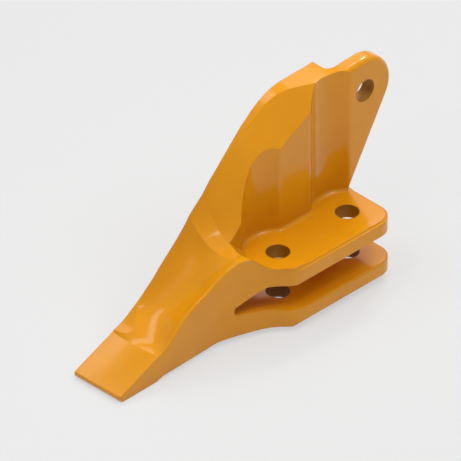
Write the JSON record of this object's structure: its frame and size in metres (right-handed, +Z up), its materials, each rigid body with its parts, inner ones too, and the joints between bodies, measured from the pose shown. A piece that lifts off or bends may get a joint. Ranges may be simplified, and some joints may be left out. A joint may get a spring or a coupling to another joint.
{
  "type": "side bucket tooth",
  "caption": "Cast side tooth for an excavator bucket: a clevis that clamps over the bucket's lip, a long scooped tooth and a tall cheek wing with a bolting lug.",
  "frame": {"origin": "midway between the two lip bolts, on the flat top of the clevis where their heads sit", "axes": "+X rearwards to the bucket, so the tooth points to -X; +Y to the wing side; +Z up along the lip bolts"},
  "size_m": [0.3713, 0.0925, 0.2005],
  "materials": {
    "painted_casting": "semi-gloss orange-yellow enamel over an as-cast steel surface"
  },
  "bodies": {
    "root": {"tooth_casting": "painted_casting"}
  },
  "joints": []
}
